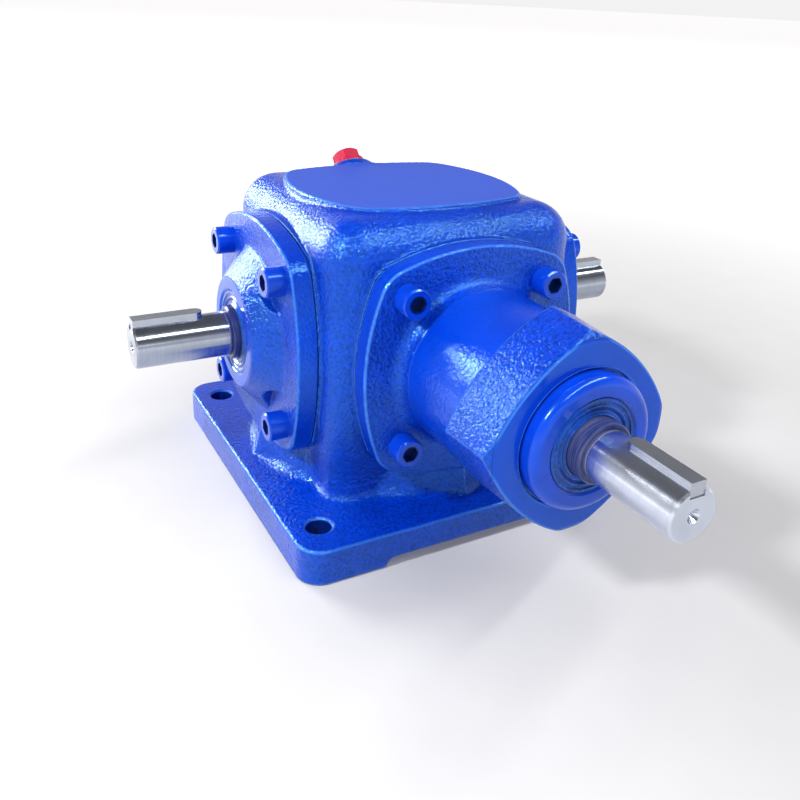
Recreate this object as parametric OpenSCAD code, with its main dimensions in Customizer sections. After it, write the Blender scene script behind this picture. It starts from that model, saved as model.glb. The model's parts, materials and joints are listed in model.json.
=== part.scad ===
// Right angle bevel gearbox: cast cube housing on a square foot, a through cross
// shaft along X, and an input shaft along -Y carried in a long bolted snout.
// Origin: centre of the foot's underside. +Z is up. All sizes in millimetres.

/* [Shafts] */
// Diameter of the three keyed shaft ends
end_d = 25; // [24:0.5:26]
// Diameter of the bearing and seal journals
journal_d = 30; // [29.5:0.25:30]
// Half length of the cross shaft, from the centre to either end
cross_reach = 158.7; // [150:0.5:180]
// Distance of the input shaft's end from the cross axis
input_reach = 248.4; // [240:0.5:270]
// Height of both shaft axes above the foot's underside
axis_h = 102; // [102:1:110]

/* [Foot] */
// Size of the foot along X
foot_x = 208; // [200:1:230]
// Size of the foot along Y
foot_y = 217; // [210:1:230]
// Thickness of the foot
foot_t = 21; // [18:0.5:22]
// Spacing of the foot's holes along X
hole_x = 174; // [168:1:180]
// Spacing of the foot's holes along Y
hole_y = 171; // [168:1:176]
// Diameter of the foot's holes
hole_d = 14; // [11:0.5:16]

/* [Housing] */
// Distance of the machined side seats from the centre
seat = 78.5; // [78:0.1:80]
// Distance of the rough cast walls from the centre
cast = 77; // [76:0.5:77.5]
// Bore of the three openings that take the covers and the snout
spigot_d = 86; // [84:1:87]

/* [Covers] */
// Distance from the centre of a flange's edge to the middle of one side
flange_mid = 64.5; // [64:0.5:66]
// Half width of a flange at its corners
flange_corner = 53; // [52:0.5:54]
// Thickness of the cover and snout flanges
flange_t = 10.8; // [9:0.1:12]
// Spacing of the flange screws, centre to centre along each side
screw_pitch = 82.8; // [82:0.2:84]
// Distance of the cover's hub face from the centre
hub_face = 103.5; // [103:0.5:106]

/* [Snout] */
// Radius of the snout's round barrel
barrel_r = 44; // [43:0.5:45]
// Radius to the middles of the nose's four sides
nose_mid = 44.4; // [44.2:0.1:45]
// Distance of the nose's front face from the centre
nose_face = 180.8; // [180:0.2:184]
// Length of the four-cornered nose
nose_len = 31.5; // [28:0.5:34]
// Radius to the nose's corners
nose_corner = 52; // [49:0.5:53]

/* [Gears] */
// Teeth on each gear of the mitre pair
teeth = 20; // [18:2:24]
// Pitch radius at the heel of the teeth
pitch_r = 38; // [36:0.5:38]
// Face width along the pitch cone
face_w = 16; // [12:0.5:17]
// Total turn of a tooth from heel to toe, in degrees
spiral = 18; // [0:1:22]

/* [Hidden] */
$fn = 96;
eps = 0.01;
fit = 0.03;                        // radial gap between parts that are fitted together

blue = "royalblue";
steel = "silver";
bearing_steel = "gainsboro";

end_r = end_d / 2;
journal_r = journal_d / 2;
step_out = 3.5;                    // the journal shows this far outside the hub face
cross_step = hub_face + step_out;  // where the cross shaft drops to end_d
spigot_r = spigot_d / 2;
screw_off = screw_pitch / 2;
shim_t = 0.5;
flange_face = seat + shim_t + flange_t;
corner_cut = 1.4;                  // how much the corners of a flange are flattened
hub_base_r = 46.5;
hub_face_r = 31;
screw_pocket_r = 19;               // clear round each screw, cut into the hub

// M10 socket head screws
screw_r = 5;
screw_head_r = 8;
screw_head_h = 10;
screw_edge = 0.8;
screw_hex = 8;
screw_grip = 14;                   // thread engaged in the housing
thread_depth = 16;

// tapered roller bearings, 30 x 62 x 17.25
brg_r = 31;
brg_w = 17.25;
cup_w = 14;
roller_n = 16;
roller_tilt = 12;
roller_taper = 2;
roller_r = 3.5;
roller_len = 10.5;
roller_mid = [8.4, 23.1];          // centre of a roller: along the axis, off the axis
brg_gap = 0.3;
cage_t = 1.0;
cup_bore = 25.5;                   // bore behind an outer ring

// oil seals, 30 x 47 x 7
seal_r = 23.5;
seal_w = 7;
seal_recess = 0.8;
lip_gap = 0.3;
shaft_hole = journal_r + 2;

// keys 8 x 7, and the gear's key 10 x 8
key_w = 8;
key_h = 7;
key_sink = 4;
end_key_len = 38;
gear_seat_r = 17.5;
gear_key_w = 10;
gear_key_h = 8;
gear_key_sink = 5;
gear_key_len = 28;

// bearing seats along the shafts, as distances from the centre
cover_shoulder = 88;                     // shoulder in the cover behind the outer ring
cross_shoulder = cover_shoulder - brg_w; // shaft side of the cross bearings
cover_spigot_end = 64;
inner_brg = 50.5;                        // pinion side of the inner bearing
inner_shoulder = inner_brg + brg_w;
outer_brg = 148;                         // pinion side of the outer bearing
snout_spigot_end = 52;
washer_start = outer_brg + brg_w;
washer_t = 1.5;
nut_start = washer_start + washer_t;
nut_t = 7;
nut_r = 21;
nut_slots = 4;
nut_slot_w = 5;
tab_r = 23;
thread_slot_w = 5;
thread_slot_depth = 1.5;
cap_front = 189.5;
cap_r = 33.3;
cap_round = 4.5;
cap_groove_r = 34.3;
cap_groove_depth = 2;
cap_plug_start = 174.5;
cap_bore = 22.5;
input_step = 197;

// housing
cavity = 60;
cavity_floor = 32;
cast_top = axis_h + cast - 1;
pad_top = axis_h + 78.3;
pad_x = 64.5;
pad_y = 58;
pad_corner = 50.5;
edge_v = 16;
edge_h = 24;
foot_r = 14;
channel_w = 114;
channel_h = 5;
skirt_h = 16;
skirt_out = 8;

// plugs and oil level gauge
plug_thread_r = 6.6;
plug_hex = 17;
plug_head_h = 9.5;
plug_thread_len = 12;
plug_collar_r = 10.5;
plug_collar_t = 2.5;
plug_washer_t = 1.5;
breather_y = 69.5;
breather_z = axis_h + 72.5;
breather_tilt = 45;
boss_r = 13;
boss_h = 14;
drain_z = 50;
level_z = axis_h - 10;
level_r = 10;
level_collar_r = 16;
level_hex = 27;

// mitre gears
cone = 45;
module_heel = 2 * pitch_r / teeth;
cone_dist = pitch_r / sin(cone);
slices = 5;
flank_steps = 2;
pressure = 20;
addendum = 0.9;                    // above the pitch cone, in modules
dedendum = 1.15;                   // below the pitch cone, in modules
backlash = 0.2;                    // each tooth is this much thinner
gear_hub_r = 27;
gear_back = 62;
gear_front = 25.5;
collar_r = 21;
collar_w = 6;
gear_key_from = gear_back - gear_key_len - 2;
pinion_key_from = 28;
pinion_key_len = 20;
pinion_end = 22;                   // inner end of the input shaft
clip_start = 24.2;
clip_t = 1.2;
clip_r = 15.5;
clip_groove_r = 11.7;
spacer_r = 20;

// ---- outlines ----

// A square with bulging sides: mid_x and mid_y reach the sides' middles, half the corners
module bulged(mid_x, mid_y, half, cut) {
    rx = (pow(half, 2) + pow(mid_x - half, 2)) / (2 * (mid_x - half));
    ry = (pow(half, 2) + pow(mid_y - half, 2)) / (2 * (mid_y - half));
    intersection() {
        translate([mid_x - rx, 0]) circle(rx);
        translate([rx - mid_x, 0]) circle(rx);
        translate([0, mid_y - ry]) circle(ry);
        translate([0, ry - mid_y]) circle(ry);
        rotate(45) square(2 * cut, center = true);
    }
}

module flange_outline() {
    bulged(flange_mid, flange_mid, flange_corner, flange_corner * sqrt(2) - corner_cut);
}

module rounded_rect(w, l, r) {
    square([w - 2 * r, l], center = true);
    square([w, l - 2 * r], center = true);
    for (x = [-1, 1], y = [-1, 1])
        translate([x * (w / 2 - r), y * (l / 2 - r)]) circle(r);
}

module at_screws() {
    for (x = [-1, 1], y = [-1, 1])
        translate([x * screw_off, y * screw_off, 0]) children();
}

module ring(r_out, r_in, z0, z1) {
    translate([0, 0, z0]) difference() {
        cylinder(r = r_out, h = z1 - z0);
        translate([0, 0, -1]) cylinder(r = r_in, h = z1 - z0 + 2);
    }
}

// ---- places: local +Z points outward from the centre, along the axis ----

module toward_left() { translate([0, 0, axis_h]) rotate([0, -90, 0]) children(); }
module toward_right() { translate([0, 0, axis_h]) rotate([0, 90, 0]) children(); }
module toward_front() { translate([0, 0, axis_h]) rotate([90, 0, 0]) children(); }
module toward_back() { translate([0, 0, axis_h]) rotate([-90, 0, 0]) children(); }
// the same two sides turned so that local +Y points up, as it does at the front
module up_left() { toward_left() rotate(-90) children(); }
module up_right() { toward_right() rotate(90) children(); }

// ---- housing ----

// Outline seen from the side: straight flanks and rounded shoulders
module shoulder_prism(half, low, top, r) {
    translate([0, half + 1, 0]) rotate([90, 0, 0]) linear_extrude(2 * half + 2) union() {
        translate([-half, low]) square([2 * half, top - low - r]);
        translate([r - half, low]) square([2 * (half - r), top - low]);
        for (x = [-1, 1]) translate([x * (half - r), top - r]) circle(r);
    }
}

// Block with every upper edge rounded: three outlines crossed
module rounded_block(half, low, top, r_upright, r_top) {
    intersection() {
        translate([0, 0, low]) linear_extrude(top - low) rounded_rect(2 * half, 2 * half, r_upright);
        shoulder_prism(half, low, top, r_top);
        rotate(90) shoulder_prism(half, low, top, r_top);
    }
}

// Sloping skirt that joins the block to the foot on all four sides
module skirt() {
    reach = cast - edge_v;
    for (a = [0, 90, 180, 270])
        rotate(a) translate([0, reach, 0]) rotate([90, 0, 0]) linear_extrude(2 * reach) polygon([
            [reach, foot_t - 1], [cast + skirt_out, foot_t - 1], [cast + skirt_out, foot_t],
            [cast, foot_t + skirt_h], [reach, foot_t + skirt_h]
        ]);
}

module foot() {
    difference() {
        linear_extrude(foot_t) rounded_rect(foot_x, foot_y, foot_r);
        translate([0, foot_y / 2 + 1, 0]) rotate([90, 0, 0]) linear_extrude(foot_y + 2) union() {
            translate([-channel_w / 2, -1]) square([channel_w, 1]);
            translate([channel_h - channel_w / 2, -1]) square([channel_w - 2 * channel_h, channel_h + 1]);
            for (x = [-1, 1]) translate([x * (channel_w / 2 - channel_h), 0]) circle(channel_h);
        }
        for (x = [-1, 1], y = [-1, 1])
            translate([x * hole_x / 2, y * hole_y / 2, -1]) cylinder(d = hole_d, h = foot_t + 2);
    }
}

module side_seat() {
    translate([0, 0, cast - 6]) linear_extrude(seat - cast + 6) flange_outline();
}

module side_opening() {
    translate([0, 0, cavity - 1]) cylinder(r = spigot_r, h = seat);
    at_screws() translate([0, 0, seat - thread_depth]) cylinder(r = screw_r + 0.1, h = thread_depth + 1);
}

module at_breather() { translate([0, breather_y, breather_z]) rotate([-breather_tilt, 0, 0]) children(); }
module at_drain() { translate([0, seat, drain_z]) rotate([-90, 0, 0]) children(); }
module at_level() { translate([0, seat, level_z]) rotate([-90, 0, 0]) children(); }

module housing() {
    color(blue) difference() {
        union() {
            foot();
            rounded_block(cast, foot_t - 1, cast_top, edge_v, edge_h);
            skirt();
            translate([0, 0, cast_top - 6]) linear_extrude(pad_top - cast_top + 6)
                bulged(pad_x, pad_y, pad_corner, pad_corner * sqrt(2) - corner_cut);
            toward_left() side_seat();
            toward_right() side_seat();
            toward_front() side_seat();
            toward_back() side_seat();
            at_breather() translate([0, 0, -boss_h]) cylinder(r = boss_r, h = boss_h);
        }
        rounded_block(cavity, cavity_floor, axis_h + cavity, edge_v, edge_v);
        toward_left() side_opening();
        toward_right() side_opening();
        toward_front() side_opening();
        at_breather() translate([0, 0, -30]) cylinder(r = plug_thread_r + 0.1, h = 32);
        at_drain() translate([0, 0, -30]) cylinder(r = plug_thread_r + 0.1, h = 32);
        at_level() translate([0, 0, -30]) cylinder(r = level_r, h = 32);
    }
}

// ---- covers, shims, screws ----

module cover() {
    color(blue) difference() {
        union() {
            translate([0, 0, seat + shim_t]) linear_extrude(flange_t) flange_outline();
            translate([0, 0, flange_face - 2]) cylinder(r = hub_face_r, h = 4);
            translate([0, 0, flange_face]) difference() {
                cylinder(r1 = hub_base_r, r2 = hub_face_r, h = hub_face - flange_face);
                at_screws() cylinder(r = screw_pocket_r, h = hub_face);
            }
            translate([0, 0, cover_spigot_end]) cylinder(r = spigot_r - fit, h = seat + 2 - cover_spigot_end);
        }
        translate([0, 0, cover_spigot_end - 1])
            cylinder(r = brg_r, h = cover_shoulder - cover_spigot_end + 1);
        translate([0, 0, cover_shoulder - 1]) cylinder(r = cup_bore, h = 4);
        translate([0, 0, cover_shoulder]) cylinder(r = shaft_hole, h = 40);
        translate([0, 0, hub_face - seal_recess - seal_w]) cylinder(r = seal_r, h = 20);
        translate([0, 0, hub_face - 1]) cylinder(r1 = seal_r, r2 = seal_r + 1.5, h = 1.5);
        at_screws() translate([0, 0, seat - 1]) cylinder(r = screw_r + 0.5, h = 30);
    }
}

module shim() {
    color("dimgray") translate([0, 0, seat]) linear_extrude(shim_t) difference() {
        flange_outline();
        circle(spigot_r + 0.5);
        for (x = [-1, 1], y = [-1, 1])
            translate([x * screw_off, y * screw_off]) circle(screw_r + 0.5);
    }
}

module screw_set() {
    under_head = flange_t + shim_t + screw_grip;
    color(blue) at_screws() translate([0, 0, flange_face]) difference() {
        union() {
            translate([0, 0, -under_head]) cylinder(r = screw_r, h = under_head + 1);
            cylinder(r = screw_head_r, h = screw_head_h - screw_edge);
            translate([0, 0, screw_head_h - screw_edge])
                cylinder(r1 = screw_head_r, r2 = screw_head_r - screw_edge, h = screw_edge);
        }
        translate([0, 0, screw_head_h - 5]) cylinder(d = screw_hex / cos(30), h = 6, $fn = 6);
    }
}

// ---- oil seals ----

// Seal in section: a steel-cased body with a rubber lip turned towards the oil
module oil_seal(z) {
    lip = journal_r + lip_gap;
    color("midnightblue") translate([0, 0, z]) rotate_extrude() polygon([
        [seal_r - fit, 0], [seal_r - fit, seal_w], [lip + 0.9, seal_w], [lip, seal_w - 0.8],
        [lip + 0.9, seal_w - 1.6], [lip + 1.3, 3.6], [lip, 1.8], [lip + 1.1, 0.2], [lip + 3.1, 0.2],
        [lip + 3.1, 1], [lip + 1.9, 1], [lip + 1.9, 2.6], [lip + 3.1, 2.6], [lip + 2.9, seal_w - 1.4],
        [seal_r - 1.6, seal_w - 1.4], [seal_r - 1.6, 0]
    ]);
}

// Garter spring in the groove behind the seal's lip
module seal_spring(z) {
    color(steel) translate([0, 0, z + 1.8]) rotate_extrude()
        translate([journal_r + lip_gap + 2.7, 0]) circle(r = 0.7, $fn = 24);
}

cross_seal = hub_face - seal_recess - seal_w;
input_seal = cap_front - seal_recess - seal_w;

// ---- tapered roller bearing: back of the outer ring at z = 0, of the inner ring at z = brg_w ----

function along(s, off) = [
    roller_mid[0] + s * cos(roller_tilt) - off * sin(roller_tilt),
    roller_mid[1] + s * sin(roller_tilt) + off * cos(roller_tilt)
];
function roller_at(s) = roller_r + s * tan(roller_taper);
function race(s, side) = along(s, side * (roller_at(s) + brg_gap));
function on_race(side, z) =
    let (a = race(-roller_len / 2, side), b = race(roller_len / 2, side))
    a[1] + (b[1] - a[1]) * (z - a[0]) / (b[0] - a[0]);

module outer_ring() {
    color(bearing_steel) rotate_extrude() polygon([
        [brg_r - fit, 0], [brg_r - fit, cup_w], [on_race(1, cup_w), cup_w], [on_race(1, 0), 0]
    ]);
}

module inner_ring() {
    front = 1.25;
    rib_in = race(-roller_len / 2, -1)[0] - 0.6;
    rib_out = race(roller_len / 2, -1)[0] + 0.6;
    color(bearing_steel) rotate_extrude() polygon([
        [journal_r + fit, front], [journal_r + fit, brg_w], [on_race(-1, rib_out) + 2.1, brg_w],
        [on_race(-1, rib_out) + 2.1, rib_out + 0.5], [on_race(-1, rib_out), rib_out],
        [on_race(-1, rib_in), rib_in], [on_race(-1, rib_in) + 1.1, rib_in - 0.4],
        [on_race(-1, rib_in) + 1.1, front]
    ]);
}

module at_rollers() {
    for (i = [0 : roller_n - 1])
        rotate(i * 360 / roller_n) translate([roller_mid[1], 0, roller_mid[0]])
            rotate([0, roller_tilt, 0]) children();
}

module roller(gap) {
    h = roller_len / 2;
    translate([0, 0, -h - gap])
        cylinder(r1 = roller_at(-h) + gap, r2 = roller_at(h) + gap, h = 2 * (h + gap));
}

module rollers() { color(steel) at_rollers() roller(0); }

// Pressed cage: a tapered sleeve between the rings with a window for each roller
module cage() {
    a = along(-roller_len / 2 - 1.6, -cage_t / 2);
    b = along(roller_len / 2 + 1.6, -cage_t / 2);
    color("dimgray") difference() {
        rotate_extrude() polygon([[a[1], a[0]], [b[1], b[0]], [b[1] + cage_t, b[0]], [a[1] + cage_t, a[0]]]);
        at_rollers() roller(0.2);
    }
}

// The back of the inner ring faces the centre, or faces outward
module thrust_in(z) { translate([0, 0, z + brg_w]) mirror([0, 0, 1]) children(); }
module thrust_out(z) { translate([0, 0, z]) children(); }

// ---- keys and shafts ----

// Key along +Z from z = 0, its top towards +Y, the inner end round
module key_body(w, h, len, both_round) {
    straight = both_round ? len - w : len - w / 2;
    translate([-w / 2, 0, w / 2]) cube([w, h, straight]);
    translate([0, 0, w / 2]) rotate([-90, 0, 0]) cylinder(d = w, h = h);
    if (both_round) translate([0, 0, len - w / 2]) rotate([-90, 0, 0]) cylinder(d = w, h = h);
}

module end_key(reach) {
    color(steel) translate([0, end_r - key_sink, reach - end_key_len])
        key_body(key_w, key_h, end_key_len - 0.5, false);
}

module end_slot(reach) {
    translate([0, end_r - key_sink, reach - end_key_len - fit])
        key_body(key_w + 2 * fit, key_h, end_key_len + 2, false);
}

module centre_hole(reach) {
    translate([0, 0, reach - 3]) cylinder(r1 = 1.6, r2 = 3.3, h = 3 + eps);
    translate([0, 0, reach - 8]) cylinder(r = 1.6, h = 8);
}

// Shaft from a given distance out: journal, step, keyed end with a chamfer
module shaft_end(from, step, reach) {
    translate([0, 0, from]) cylinder(r = journal_r, h = step - from - 0.8);
    translate([0, 0, step - 0.8]) cylinder(r1 = journal_r, r2 = journal_r - 0.8, h = 0.8);
    translate([0, 0, step - 1]) cylinder(r = end_r, h = reach - step);
    translate([0, 0, reach - 1]) cylinder(r1 = end_r, r2 = end_r - 1, h = 1);
}

module cross_shaft() {
    color(steel) difference() {
        union() {
            up_left() shaft_end(0, cross_step, cross_reach);
            up_right() shaft_end(0, cross_step, cross_reach);
            up_left() translate([0, 0, -cross_shoulder])
                cylinder(r = gear_seat_r, h = cross_shoulder + gear_back);
            up_left() translate([0, 0, gear_front - collar_w]) cylinder(r = collar_r, h = collar_w);
        }
        up_left() end_slot(cross_reach);
        up_right() end_slot(cross_reach);
        up_left() centre_hole(cross_reach);
        up_right() centre_hole(cross_reach);
        up_left() translate([0, gear_seat_r - gear_key_sink, gear_key_from - fit])
            key_body(gear_key_w + 2 * fit, gear_key_h, gear_key_len + 2 * fit, true);
    }
}

module gear_key() {
    color(steel) up_left() translate([0, gear_seat_r - gear_key_sink, gear_key_from])
        key_body(gear_key_w, gear_key_h, gear_key_len, true);
}

// ---- mitre gears: apex of the pitch cones at the origin, gear body towards +Z ----

function inv(a) = tan(a) * 180 / PI - a;
// Half of a tooth's angle on the unrolled back cone, h above the pitch cone
function half_tooth(dist, h) =
    let (rho = dist * tan(cone), base = rho * cos(pressure), at = max(rho + h, base))
    90 * cos(cone) / teeth + inv(pressure) - inv(acos(base / at)) - backlash / 2 / rho * 180 / PI;
function slice_dist(s) = cone_dist - face_w * s / (slices - 1);
function flank_height(s, k) =
    (k / flank_steps * (addendum + dedendum) - dedendum) * module_heel * slice_dist(s) / cone_dist;
function cone_point(dist, h, angle) =
    let (r = dist * sin(cone) + h * cos(cone))
    [r * cos(angle), r * sin(angle), dist * cos(cone) - h * sin(cone)];

// Outline of all the teeth at one distance from the apex
function slice_points(s, phase) = [
    for (t = [0 : teeth - 1], side = [-1, 1], k = [0 : flank_steps])
        let (d = slice_dist(s), h = flank_height(s, side < 0 ? k : flank_steps - k))
        cone_point(d, h, t * 360 / teeth + phase + spiral * s / (slices - 1)
            + side * half_tooth(d, h) / cos(cone))
];
// Ring of as many points under the teeth
function under_points(s, phase, n) = [
    for (i = [0 : n - 1])
        let (d = slice_dist(s))
        cone_point(d, -3.2 * module_heel * d / cone_dist,
            (i - flank_steps - 0.5) * 360 / n + phase + spiral * s / (slices - 1))
];

// Band of triangles between two rings of n points that start at a and b
function band(a, b, n) = [
    for (i = [0 : n - 1], half = [0, 1])
        let (j = (i + 1) % n)
        half == 0 ? [a + i, a + j, b + i] : [a + j, b + j, b + i]
];

module toothed_ring(phase) {
    n = teeth * 2 * (flank_steps + 1);
    last = slices - 1;
    polyhedron(
        points = concat(
            [for (s = [0 : last]) each slice_points(s, phase)],
            under_points(0, phase, n),
            under_points(last, phase, n)
        ),
        faces = concat(
            [for (s = [0 : last - 1]) each band(s * n, (s + 1) * n, n)],
            band(last * n, (last + 2) * n, n),
            band((last + 2) * n, (last + 1) * n, n),
            band((last + 1) * n, 0, n)
        )
    );
}

// Solid under the teeth: a cone a little below the roots, then a hub of radius hub
module gear_blank(bore, hub, back) {
    heel = cone_point(cone_dist, -1.9 * module_heel, 0);
    toe = cone_point(cone_dist - face_w, -1.9 * module_heel * (1 - face_w / cone_dist), 0);
    rotate_extrude() polygon([
        [bore, gear_front], [toe[0] - 2, gear_front], [toe[0], toe[2]], [heel[0], heel[2]],
        [heel[0] - 3, heel[2] + 4], [hub, heel[2] + 5], [hub, back], [bore, back]
    ]);
}

// Toothed wheel with its keyway towards +X
module mitre_wheel(bore, hub, back, slot_w, slot_r) {
    difference() {
        union() {
            toothed_ring(-90);
            gear_blank(bore + fit, hub, back);
        }
        translate([0, -slot_w / 2 - fit, gear_front - 1]) cube([slot_r + 0.2, slot_w + 2 * fit, back]);
    }
}

module bevel_gear() {
    slot_r = gear_seat_r - gear_key_sink + gear_key_h;
    color(steel) toward_left() mitre_wheel(gear_seat_r, gear_hub_r, gear_back, gear_key_w, slot_r);
}

// The pinion mirrors the gear and stands half a pitch further round
module half_pitch_round() {
    translate([0, 0, axis_h]) rotate([0, 180 / teeth, 0]) translate([0, 0, -axis_h]) children();
}

module bevel_pinion() {
    slot_r = end_r - key_sink + key_h;
    color(steel) half_pitch_round() translate([0, 0, axis_h]) mirror([1, -1, 0]) rotate([0, -90, 0])
        mitre_wheel(end_r, spacer_r, inner_brg, key_w, slot_r);
}

module input_shaft() {
    color(steel) difference() {
        union() {
            toward_front() translate([0, 0, pinion_end]) cylinder(r = end_r, h = inner_brg - pinion_end + 1);
            toward_front() shaft_end(inner_brg, input_step, input_reach);
        }
        toward_front() end_slot(input_reach);
        toward_front() centre_hole(input_reach);
        toward_front() ring(end_r + 1, clip_groove_r, clip_start - fit, clip_start + clip_t + fit);
        half_pitch_round() toward_front() translate([0, end_r - key_sink, pinion_key_from - fit])
            key_body(key_w + 2 * fit, key_h, pinion_key_len + 2 * fit, true);
        toward_front() translate([-thread_slot_w / 2, journal_r - thread_slot_depth, washer_start - 2])
            cube([thread_slot_w, 5, washer_t + nut_t + 4]);
    }
}

module pinion_key() {
    color(steel) half_pitch_round() toward_front() translate([0, end_r - key_sink, pinion_key_from])
        key_body(key_w, key_h, pinion_key_len, true);
}

// Retaining ring that holds the pinion on the shaft's inner end, open below
module pinion_retaining_ring() {
    color(steel) toward_front() difference() {
        ring(clip_r, clip_groove_r + fit, clip_start, clip_start + clip_t);
        translate([-3, -20, clip_start - 1]) cube([6, 20, clip_t + 2]);
    }
}

module gear_spacer_sleeve() {
    color(steel) toward_left() ring(spacer_r, journal_r + fit, gear_back, cross_shoulder);
}

// ---- snout that carries the input shaft ----

module input_snout() {
    nose_rear = nose_face - nose_len;
    nose_half = nose_corner / sqrt(2);
    nose_slope = 4.5;
    color(blue) toward_front() difference() {
        union() {
            translate([0, 0, seat + shim_t]) linear_extrude(flange_t) flange_outline();
            translate([0, 0, flange_face]) rotate_extrude() difference() {
                translate([barrel_r - 2, -1]) square([6.6, 6]);
                translate([barrel_r + 4.6, 5]) circle(5);
            }
            translate([0, 0, flange_face - 1]) cylinder(r = barrel_r, h = nose_rear + 2 - flange_face);
            intersection() {
                translate([0, 0, nose_rear]) linear_extrude(nose_len)
                    rotate(45) bulged(nose_mid, nose_mid, nose_half, nose_corner);
                union() {
                    translate([0, 0, nose_rear - 1]) cylinder(r = nose_corner + 1, h = nose_len - nose_slope);
                    translate([0, 0, nose_face - nose_slope - 1])
                        cylinder(r1 = nose_corner + 1, r2 = nose_corner - nose_slope, h = nose_slope + 1);
                }
            }
            translate([0, 0, snout_spigot_end]) cylinder(r = spigot_r - fit, h = seat + 2 - snout_spigot_end);
        }
        translate([0, 0, snout_spigot_end - 1])
            cylinder(r = brg_r, h = inner_shoulder - snout_spigot_end + 1);
        translate([0, 0, inner_shoulder - 1]) cylinder(r = cup_bore, h = outer_brg - inner_shoulder + 2);
        translate([0, 0, outer_brg]) cylinder(r = brg_r, h = 60);
        translate([0, 0, nose_face - cap_groove_depth]) cylinder(r = cap_groove_r, h = 10);
        at_screws() translate([0, 0, seat - 1]) cylinder(r = screw_r + 0.5, h = 30);
    }
}

module bearing_lock_washer() {
    tabs = 11;
    color(steel) toward_front() translate([0, 0, washer_start]) difference() {
        union() {
            cylinder(r = nut_r - 1.5, h = washer_t);
            for (i = [0 : tabs - 1]) rotate(i * 360 / tabs)
                translate([-nut_slot_w / 2 + 0.3, 0, 0]) cube([nut_slot_w - 0.6, tab_r, washer_t]);
        }
        difference() {
            translate([0, 0, -1]) cylinder(r = journal_r + fit, h = washer_t + 2);
            translate([fit - thread_slot_w / 2, journal_r - thread_slot_depth + fit, 0])
                cube([thread_slot_w - 2 * fit, 5, washer_t]);
        }
    }
}

module bearing_lock_nut() {
    color(steel) toward_front() difference() {
        ring(nut_r, journal_r + fit, nut_start, nut_start + nut_t);
        for (i = [0 : nut_slots - 1]) rotate(i * 360 / nut_slots)
            translate([-nut_slot_w / 2, nut_r - 2.2, nut_start - 1]) cube([nut_slot_w, 5, nut_t + 2]);
    }
}

module snout_end_cap() {
    rim = nose_face - cap_groove_depth;
    color(blue) toward_front() difference() {
        union() {
            translate([0, 0, cap_plug_start]) cylinder(r = brg_r - fit, h = rim + 1 - cap_plug_start);
            rotate_extrude() union() {
                translate([0, rim]) square([cap_r, cap_front - cap_round - rim]);
                translate([0, rim]) square([cap_r - cap_round, cap_front - rim]);
                translate([cap_r - cap_round, cap_front - cap_round]) circle(cap_round);
            }
        }
        translate([0, 0, cap_plug_start - 1]) cylinder(r = cap_bore, h = rim - cap_plug_start);
        cylinder(r = shaft_hole, h = cap_front);
        translate([0, 0, input_seal]) cylinder(r = seal_r, h = 20);
        translate([0, 0, cap_front - 1]) cylinder(r1 = seal_r, r2 = seal_r + 1.5, h = 1.5);
    }
}

// ---- plugs and oil level gauge: thread towards -Z, from the seat at z = 0 ----

module plug_washer(r_out, r_in) { color("orange") ring(r_out, r_in + 0.2, 0, plug_washer_t); }

module hex_plug(vented) {
    difference() {
        union() {
            translate([0, 0, -plug_thread_len])
                cylinder(r = plug_thread_r, h = plug_thread_len + plug_washer_t + 1);
            translate([0, 0, plug_washer_t]) cylinder(r = plug_collar_r, h = plug_collar_t);
            translate([0, 0, plug_washer_t + plug_collar_t - 1]) intersection() {
                cylinder(d = plug_hex / cos(30), h = plug_head_h - plug_collar_t + 1, $fn = 6);
                union() {
                    cylinder(r = plug_hex / 2 + 2, h = plug_head_h - plug_collar_t - 0.5);
                    translate([0, 0, plug_head_h - plug_collar_t - 0.5])
                        cylinder(r1 = plug_hex / 2 + 1.2, r2 = plug_hex / 2 - 0.3, h = 1.5);
                }
            }
        }
        if (vented) translate([0, 0, -plug_thread_len - 1]) cylinder(r = 2.5, h = plug_thread_len + 6);
        if (vented) translate([-20, 0, 5.5]) rotate([0, 90, 0]) cylinder(r = 0.9, h = 40);
    }
}

module oil_level_gauge() {
    color("goldenrod") at_level() difference() {
        union() {
            translate([0, 0, -plug_thread_len])
                cylinder(r = level_r - 0.1, h = plug_thread_len + plug_washer_t + 1);
            translate([0, 0, plug_washer_t]) cylinder(r = level_collar_r, h = 2);
            translate([0, 0, plug_washer_t + 1]) cylinder(d = level_hex / cos(30), h = 5, $fn = 6);
        }
        translate([0, 0, -plug_thread_len - 1]) cylinder(r = level_r - 3, h = 40);
        translate([0, 0, plug_washer_t + 1]) cylinder(r = level_r, h = 10);
    }
}

module oil_level_lens() {
    color("lightcyan") at_level() translate([0, 0, plug_washer_t + 1]) cylinder(r = level_r - fit, h = 3.5);
}

housing();
toward_left() cover();  // left_cover
toward_right() cover();  // right_cover
toward_left() shim();  // left_cover_shim
toward_right() shim();  // right_cover_shim
toward_left() screw_set();  // left_cover_screws
toward_right() screw_set();  // right_cover_screws
toward_left() oil_seal(cross_seal);  // left_oil_seal
toward_right() oil_seal(cross_seal);  // right_oil_seal
toward_left() seal_spring(cross_seal);  // left_seal_spring
toward_right() seal_spring(cross_seal);  // right_seal_spring
toward_left() thrust_in(cross_shoulder) outer_ring();  // left_bearing_outer_ring
toward_left() thrust_in(cross_shoulder) inner_ring();  // left_bearing_inner_ring
toward_left() thrust_in(cross_shoulder) rollers();  // left_bearing_rollers
toward_left() thrust_in(cross_shoulder) cage();  // left_bearing_cage
toward_right() thrust_in(cross_shoulder) outer_ring();  // right_bearing_outer_ring
toward_right() thrust_in(cross_shoulder) inner_ring();  // right_bearing_inner_ring
toward_right() thrust_in(cross_shoulder) rollers();  // right_bearing_rollers
toward_right() thrust_in(cross_shoulder) cage();  // right_bearing_cage
cross_shaft();
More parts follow.
